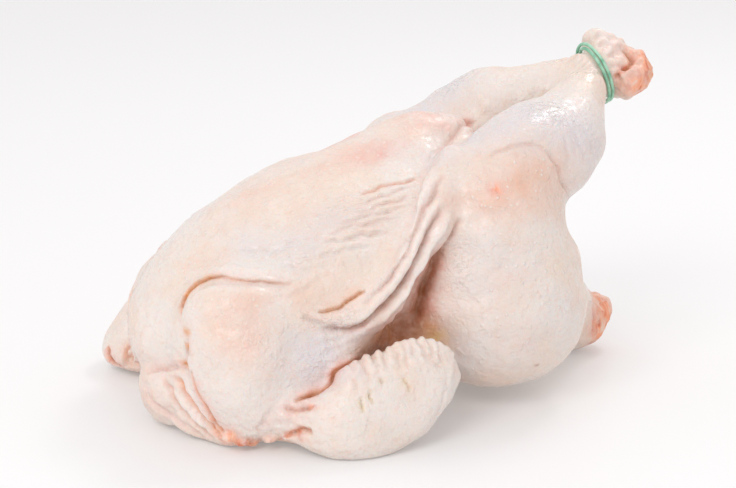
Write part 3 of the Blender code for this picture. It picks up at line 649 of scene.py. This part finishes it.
# The sum of a few plane waves, as high as a single one on average
def waves(random, grid, length):
    height = np.zeros(len(grid))
    for _ in range(skinWaves["each"]):
        way = random.normal(size=3)
        way *= 2 * math.pi / length / np.linalg.norm(way)
        height += np.sin(grid @ way + random.uniform(0, 2 * math.pi))
    return height / math.sqrt(skinWaves["each"])


def waveSkin():
    random = np.random.default_rng(skinWaves["seed"])
    grid = places / gridStep
    height = sum(tall * waves(random, grid, length) for length, tall in skinWaves["lengths"])
    for middle, radii, length, tall in crumples:
        for side in (nearSide, farSide):
            gaps = (places - np.array(at(*middle, side))) / (np.array(radii) * gridStep)
            height += tall * np.exp(-(gaps ** 2).sum(1)) * waves(random, grid, length)
    still = np.clip(places[:, 2] / (skinWaves["still"] * gridStep), 0, 1)
    shift[:] += facing * (height * still * gridStep)[:, None]


for middle, radius, height in swells:
    raiseBead(at(*middle), radius, height)
for side in (nearSide, farSide):
    for fold in webFolds + shoulderFolds + thighFolds + breastFolds:
        pressFold(fold, side)
    for spot in spots:
        addSpot(*spot, side)
pressWing(nearSide, 0.0)
pressWing(farSide, skinForm["farForward"])
for fold in middleFolds:
    pressFold(fold, nearSide)
pressGathers()
waveSkin()
print("folds pressed")


# The folds are pressed, the mesh is thinned, and each vertex takes the stains, painted shade and painted
# highlight of the nearest one before that
def settleSkin():
    moved = places + shift
    moved[:, 2] = np.maximum(moved[:, 2], 0.0)
    mesh = birdSkin.data
    mesh.vertices.foreach_set("co", moved.astype(np.float32).ravel())
    mesh.update()
    addSmoothing(birdSkin, "eased", *skinForm["easing"])
    bakeModifiers(birdSkin)
    settled = meshRows(birdSkin.data.vertices, "co")
    lookup = KDTree(len(settled))
    for i, point in enumerate(settled):
        lookup.insert(point, i)
    lookup.balance()
    triangles = sum(len(face.vertices) - 2 for face in birdSkin.data.polygons)
    thinned = birdSkin.modifiers.new("thinned", "DECIMATE")
    thinned.ratio = min(1.0, skinForm["triangles"] / triangles)
    mesh = bakeModifiers(birdSkin)
    source = np.array([lookup.find(vertex.co)[1] for vertex in mesh.vertices])
    for name, mask in stainsAndShade.items():
        held = mesh.attributes.new(name, "FLOAT", "POINT")
        held.data.foreach_set("value", np.clip(mask[source], 0, 1).astype(np.float32))
    mesh.shade_smooth()


settleSkin()
print("skin settled:", len(birdSkin.data.polygons), "triangles")

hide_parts("chicken")
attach(birdSkin, "root")

bandForm = {"levels": 2}
elasticBand = smoothCopy("elasticBand", "elastic_band", bandForm["levels"])
elasticBand.data.shade_smooth()
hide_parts("elastic_band")
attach(elasticBand, "root")
print("band smoothed")


# Node helpers: a value given to an input is either a plain value or another node's output
def feed(tree, socket, value):
    if isinstance(value, bpy.types.NodeSocket):
        tree.links.new(value, socket)
    elif socket.type == "RGBA":
        socket.default_value = (*value, 1)
    else:
        socket.default_value = value


def addNode(tree, kind, inputs, **settings):
    node = tree.nodes.new(kind)
    for name, value in settings.items():
        setattr(node, name, value)
    for name, value in inputs.items():
        feed(tree, node.inputs[name], value)
    return node


def arithmetic(tree, operation, a, b):
    return addNode(tree, "ShaderNodeMath", {0: a, 1: b}, operation=operation).outputs[0]


def times(tree, a, b):
    return arithmetic(tree, "MULTIPLY", a, b)


def plus(tree, a, b):
    return arithmetic(tree, "ADD", a, b)


def clamped(tree, value):
    return addNode(tree, "ShaderNodeClamp", {"Value": value}).outputs[0]


def blendColour(tree, mask, under, over):
    return addNode(tree, "ShaderNodeMix", {0: mask, 6: under, 7: over}, data_type="RGBA").outputs[2]


def stepUp(tree, value, low, high, bottom=0.0, top=1.0):
    inputs = {"Value": value, "From Min": low, "From Max": high, "To Min": bottom, "To Max": top}
    return addNode(tree, "ShaderNodeMapRange", inputs, interpolation_type="SMOOTHSTEP").outputs[0]


def newGroup(name, inputs, outputs):
    group = bpy.data.node_groups.new(name, "ShaderNodeTree")
    for label, kind, value in inputs:
        socket = group.interface.new_socket(name=label, in_out="INPUT", socket_type=kind)
        if value is not None:
            socket.default_value = value
    for label in outputs:
        group.interface.new_socket(name=label, in_out="OUTPUT", socket_type="NodeSocketFloat")
    return group, group.nodes.new("NodeGroupInput"), group.nodes.new("NodeGroupOutput")


def useGroup(tree, group, **inputs):
    node = tree.nodes.new("ShaderNodeGroup")
    node.node_tree = group
    for name, value in inputs.items():
        feed(tree, node.inputs[name], value)
    return node


# Cloudy patches: how much of them shows is set by the low and high marks
def makeMottle():
    group, given, out = newGroup("mottle", [
        ("Place", "NodeSocketVector", None),
        ("Scale", "NodeSocketFloat", 60.0),
        ("Low", "NodeSocketFloat", 0.4),
        ("High", "NodeSocketFloat", 0.6),
    ], ["Mask"])
    cloud = addNode(group, "ShaderNodeTexNoise", {
        "Vector": given.outputs["Place"], "Scale": given.outputs["Scale"], "Detail": 4.0, "Roughness": 0.55,
    })
    mask = stepUp(group, cloud.outputs[0], given.outputs["Low"], given.outputs["High"])
    group.links.new(mask, out.inputs["Mask"])
    return group


follicleForm = {
    "bendScale": 90.0,  # the rows of follicles are bent
    "bend": (0.004, 0.004, 0.004),
    "scatter": 0.75,
    "uneven": (0.25, 0.7, 0.35, 1.0),  # low and high marks of the bend's cloud, and the heights there
    # the pimple's dot is a pale dot painted on its top as a highlight
    "dot": (0.25, 0.1),  # the rim and the full middle of a pimple's dot, in cells
}


# Plucked feather follicles: a small pimple in each cell, some higher than others, with a pale dot on each as
# its painted highlight
def makeFollicles():
    group, given, out = newGroup("follicles", [
        ("Place", "NodeSocketVector", None),
        ("Scale", "NodeSocketFloat", 330.0),
        ("Size", "NodeSocketFloat", 0.42),
    ], ["Height", "Dot"])
    bent = addNode(group, "ShaderNodeTexNoise", {
        "Vector": given.outputs["Place"], "Scale": follicleForm["bendScale"], "Detail": 1.0,
    })
    spread = addNode(
        group, "ShaderNodeVectorMath", {0: bent.outputs[1], 1: follicleForm["bend"]}, operation="MULTIPLY"
    )
    place = addNode(
        group, "ShaderNodeVectorMath", {0: given.outputs["Place"], 1: spread.outputs[0]}, operation="ADD"
    )
    cells = addNode(group, "ShaderNodeTexVoronoi", {
        "Vector": place.outputs[0], "Scale": given.outputs["Scale"], "Randomness": follicleForm["scatter"],
    }, feature="F1")
    bump = stepUp(group, cells.outputs["Distance"], given.outputs["Size"], 0.0)
    height = times(group, bump, stepUp(group, bent.outputs[0], *follicleForm["uneven"]))
    group.links.new(height, out.inputs["Height"])
    dot = stepUp(group, cells.outputs["Distance"], *follicleForm["dot"])
    group.links.new(dot, out.inputs["Dot"])
    return group


mottle = makeMottle()
follicles = makeFollicles()

skinFinish = {
    "cream": (0.80, 0.725, 0.675),
    "creamWarm": (0.81, 0.675, 0.585),
    "lilac": (0.725, 0.67, 0.675),
    "blush": (0.80, 0.525, 0.41),
    "rosy": (0.80, 0.46, 0.40),
    # pale: partly the skin's paler places, partly painted highlight on ridge crests
    "pale": (0.86, 0.79, 0.75),
    # amber: partly the colour of torn skin and fat, partly painted shade in creases
    "amber": (0.78, 0.36, 0.14),
    "rawDark": (0.66, 0.15, 0.07),
    "rawLight": (0.93, 0.42, 0.25),
    "sinew": (0.88, 0.66, 0.54),
    "fat": (0.86, 0.66, 0.36),
    # painted shade: the dark brown of creases and hollows
    "crease": (0.40, 0.15, 0.065),
    "roughDry": 0.44,
    "roughWet": 0.25,
    "coat": 0.7,
    "coatRoughness": 0.15,
    "scatter": 0.30,
    "scatterRadius": (1.0, 0.45, 0.3),
    "scatterScale": 0.004,
    "bump": {"Strength": 0.8, "Distance": 0.001},
}

# Clouds all over the skin: the scale, the low and high marks, and the strength where it isn't full
skinClouds = {
    "warm": (28.0, 0.4, 0.62),
    "pale": (75.0, 0.5, 0.72, 0.4),
    "flushed": (45.0, 0.55, 0.75, 0.3),
    "speckled": (420.0, 0.52, 0.7, 0.26),
    "beaded": (420.0, 0.42, 0.58),  # wet places are wet in beads
    "damp": (300.0, 0.46, 0.62, 0.5),
}

# How the edge of each stain, the painted shade among them, is broken up: the scale of the clouds and how
# strongly they show
stainAndShadeEdges = {
    "lilac": (60.0, 0.25),
    "blush": (90.0, 0.22),
    "rosy": (160.0, 0.4),
    "fat": (200.0, 0.6),
    "raw": (240.0, 0.45),
    "amber": (260.0, 0.2),
    "crease": (260.0, 0.15),
}
edgeMarks = (0.3, 0.7)
# the pale stain is partly painted highlight on ridge crests
paleShare = 0.6  # a pale stain never covers more than this

pimpleForm = {"Scale": 310.0, "Size": 0.37}
pimpleShare = (0.45, 0.75)  # how far the pimples show on calm and on goose-pimpled skin

# The fibres of raw flesh: dark below the first marks, light between, sinew past the second
fibreForm = {
    "stretch": (260.0, 260.0, 140.0),
    "noise": {"Scale": 1.0, "Detail": 5.0, "Distortion": 0.8},
    "light": (0.32, 0.58),
    "sinew": (0.58, 0.7),
}

# The fine relief: each pattern and its height
skinRelief = {
    "pimples": 0.7,
    "crackle": ({"Scale": 700.0, "Detail": 3.0, "Roughness": 0.6}, 0.3),
    "creping": ({"Scale": 230.0, "Detail": 3.0, "Distortion": 0.6}, 1.3),
    "ripples": ({"Scale": 520.0, "Detail": 1.0, "Distortion": 0.8}, 2.0),
    "pleats": ({"Scale": 1.0, "Detail": 3.0}, 2.2),
    "pleatStretch": (70.0, 380.0, 460.0),
}


def skinMaterial():
    made = bpy.data.materials.new("rawSkin")
    made.use_nodes = True
    tree = made.node_tree
    shader = tree.nodes["Principled BSDF"]
    place = addNode(tree, "ShaderNodeTexCoord", {}).outputs["Object"]
    stainAndShade = {
        name: addNode(tree, "ShaderNodeAttribute", {}, attribute_name=name).outputs["Fac"]
        for name in stainsAndShade
    }

    def cloud(scale, low, high, strength=1.0):
        mask = useGroup(tree, mottle, Place=place, Scale=scale, Low=low, High=high).outputs["Mask"]
        return times(tree, mask, strength) if strength < 1.0 else mask

    # Each stain, the painted shade among them, shows through broken clouds, so that its edge isn't a clean
    # one
    def broken(name):
        scale, share = stainAndShadeEdges[name]
        grain = stepUp(tree, cloud(scale, *edgeMarks), 0.0, 1.0, 1.0 - share, 1.0 + share)
        return clamped(tree, times(tree, stainAndShade[name], grain))

    def noise(vector, form):
        return addNode(tree, "ShaderNodeTexNoise", {"Vector": vector, **form}).outputs[0]

    def stretched(scale):
        return addNode(tree, "ShaderNodeMapping", {"Vector": place, "Scale": scale}).outputs[0]

    pimples = useGroup(tree, follicles, Place=place, **pimpleForm)
    goosed = stepUp(tree, stainAndShade["goose"], 0.0, 1.0, *pimpleShare)
    rough = arithmetic(tree, "SUBTRACT", 1.0, clamped(tree, plus(tree, stainAndShade["pale"], stainAndShade["raw"])))
    fibres = noise(stretched(fibreForm["stretch"]), fibreForm["noise"])
    light, sinew = (stepUp(tree, fibres, *fibreForm[name]) for name in ("light", "sinew"))
    flesh = blendColour(tree, light, skinFinish["rawDark"], skinFinish["rawLight"])
    flesh = blendColour(tree, sinew, flesh, skinFinish["sinew"])

    colour = skinFinish["cream"]
    for mask, over in (
        (cloud(*skinClouds["warm"]), skinFinish["creamWarm"]),
        (cloud(*skinClouds["pale"]), skinFinish["pale"]),
        (cloud(*skinClouds["flushed"]), skinFinish["blush"]),
        (broken("lilac"), skinFinish["lilac"]),
        (broken("blush"), skinFinish["blush"]),
        (broken("rosy"), skinFinish["rosy"]),
        # partly painted highlight: the pale stain along ridge crests
        (times(tree, stainAndShade["pale"], paleShare), skinFinish["pale"]),
        # painted highlight: a pale dot on each pimple
        (times(tree, times(tree, pimples.outputs["Dot"], rough), goosed), skinFinish["pale"]),
        (cloud(*skinClouds["speckled"]), skinFinish["blush"]),
        (broken("fat"), skinFinish["fat"]),
        (broken("raw"), flesh),
        # amber, partly painted shade in creases
        (broken("amber"), skinFinish["amber"]),
        # painted shade: dark brown in creases and hollows
        (broken("crease"), skinFinish["crease"]),
    ):
        colour = blendColour(tree, mask, colour, over)
    feed(tree, shader.inputs["Base Color"], colour)

    wetness = times(tree, stainAndShade["wet"], cloud(*skinClouds["beaded"]))
    sheen = clamped(tree, plus(tree, wetness, cloud(*skinClouds["damp"])))
    roughness = stepUp(tree, sheen, 0.0, 1.0, skinFinish["roughDry"], skinFinish["roughWet"])
    feed(tree, shader.inputs["Roughness"], roughness)
    feed(tree, shader.inputs["Coat Weight"], times(tree, sheen, skinFinish["coat"]))
    shader.inputs["Coat Roughness"].default_value = skinFinish["coatRoughness"]
    shader.inputs["Subsurface Weight"].default_value = skinFinish["scatter"]
    shader.inputs["Subsurface Radius"].default_value = skinFinish["scatterRadius"]
    shader.inputs["Subsurface Scale"].default_value = skinFinish["scatterScale"]

    raised = times(tree, rough, times(tree, goosed, skinRelief["pimples"]))
    height = times(tree, pimples.outputs["Height"], raised)
    for name, where, stainName in (
        ("crackle", place, None),
        ("creping", place, None),
        ("pleats", stretched(skinRelief["pleatStretch"]), "creped"),
        ("ripples", place, "wet"),
    ):
        form, tall = skinRelief[name]
        pattern = noise(where, form)
        if stainName:
            pattern = times(tree, pattern, stainAndShade[stainName])
        height = plus(tree, height, times(tree, pattern, tall))
    bump = addNode(tree, "ShaderNodeBump", {"Height": height, **skinFinish["bump"]})
    feed(tree, shader.inputs["Normal"], bump.outputs[0])
    return made


birdSkin.data.materials.clear()
birdSkin.data.materials.append(skinMaterial())

bandFinish = {
    "light": (0.40, 0.70, 0.52),
    "dark": (0.16, 0.44, 0.29),
    "patches": {"Scale": 240.0, "Low": 0.35, "High": 0.7},
    "roughness": 0.42,
    "grain": {"Scale": 1500.0, "Detail": 2.0},
    "bump": {"Strength": 0.3, "Distance": 0.0003},
}


def bandMaterial():
    made = bpy.data.materials.new("greenElastic")
    made.use_nodes = True
    tree = made.node_tree
    shader = tree.nodes["Principled BSDF"]
    place = addNode(tree, "ShaderNodeTexCoord", {}).outputs["Object"]
    patches = useGroup(tree, mottle, Place=place, **bandFinish["patches"]).outputs["Mask"]
    colour = blendColour(tree, patches, bandFinish["light"], bandFinish["dark"])
    feed(tree, shader.inputs["Base Color"], colour)
    shader.inputs["Roughness"].default_value = bandFinish["roughness"]
    grain = addNode(tree, "ShaderNodeTexNoise", {"Vector": place, **bandFinish["grain"]})
    bump = addNode(tree, "ShaderNodeBump", {"Height": grain.outputs[0], **bandFinish["bump"]})
    feed(tree, shader.inputs["Normal"], bump.outputs[0])
    return made


elasticBand.data.materials.clear()
elasticBand.data.materials.append(bandMaterial())
print("materials ready")

studio = {
    "tableSize": 6.0,
    "tableColour": (0.74, 0.735, 0.735),
    "tableGlow": 0.2,  # the pale table is lit a little from below
    "tableRoughness": 0.45,
    "skyColour": (1.0, 0.985, 0.99),
    "skyStrength": 0.86,
    "backdropColour": (0.97, 0.95, 0.965),  # what the camera sees of the sky
    "lights": {
        "frontLight": ((-0.95, -0.7, 1.0), 6.3, 0.7),  # its place, power and size
        "backLight": ((0.65, 0.36, 0.95), 2.2, 0.3),
    },
}

view = {
    "azimuth": -27.0,
    "elevation": 15.0,
    "distance": 0.945,
    "lens": 102.7,
    "sensor": 36.0,
    "aim": (-0.0113, 0.0093, 0.0616),
}


def pointAt(holder, place, target):
    holder.location = place
    holder.rotation_mode = "QUATERNION"
    holder.rotation_quaternion = (Vector(target) - Vector(place)).to_track_quat("-Z", "Y")


def addTable():
    board = bmesh.new()
    bmesh.ops.create_grid(board, x_segments=1, y_segments=1, size=studio["tableSize"] / 2)
    mesh = bpy.data.meshes.new("table")
    board.to_mesh(mesh)
    board.free()
    made = bpy.data.materials.new("paleTable")
    made.use_nodes = True
    shader = made.node_tree.nodes["Principled BSDF"]
    shader.inputs["Base Color"].default_value = (*studio["tableColour"], 1)
    shader.inputs["Roughness"].default_value = studio["tableRoughness"]
    shader.inputs["Emission Color"].default_value = (*studio["tableColour"], 1)
    shader.inputs["Emission Strength"].default_value = studio["tableGlow"]
    mesh.materials.append(made)
    newPiece("table", mesh)


def addLight(name, place, power, size):
    lamp = bpy.data.lights.new(name, "AREA")
    lamp.energy = power
    lamp.size = size
    holder = bpy.data.objects.new(name, lamp)
    scene.collection.objects.link(holder)
    pointAt(holder, place, view["aim"])


# The sky lights the bird evenly, and the camera sees it as a plain pale backdrop
def addSky():
    sky = bpy.data.worlds.new("sky")
    scene.world = sky
    sky.use_nodes = True
    tree = sky.node_tree
    dome = tree.nodes["Background"]
    dome.inputs["Color"].default_value = (*studio["skyColour"], 1)
    dome.inputs["Strength"].default_value = studio["skyStrength"]
    backdrop = addNode(tree, "ShaderNodeBackground", {"Color": studio["backdropColour"]})
    seen = addNode(tree, "ShaderNodeLightPath", {}).outputs["Is Camera Ray"]
    both = addNode(tree, "ShaderNodeMixShader", {0: seen, 1: dome.outputs[0], 2: backdrop.outputs[0]})
    tree.links.new(both.outputs[0], tree.nodes["World Output"].inputs["Surface"])


def addCamera():
    azimuth, elevation = math.radians(view["azimuth"]), math.radians(view["elevation"])
    back = Vector((
        math.sin(azimuth) * math.cos(elevation),
        -math.cos(azimuth) * math.cos(elevation),
        math.sin(elevation),
    ))
    camera = bpy.data.cameras.new("camera")
    camera.sensor_width = view["sensor"]
    camera.lens = view["lens"]
    holder = bpy.data.objects.new("camera", camera)
    scene.collection.objects.link(holder)
    pointAt(holder, Vector(view["aim"]) + back * view["distance"], view["aim"])
    scene.camera = holder


addTable()
for name, (place, power, size) in studio["lights"].items():
    addLight(name, place, power, size)
addSky()
addCamera()
scene.view_settings.view_transform = "Standard"
print("studio ready")
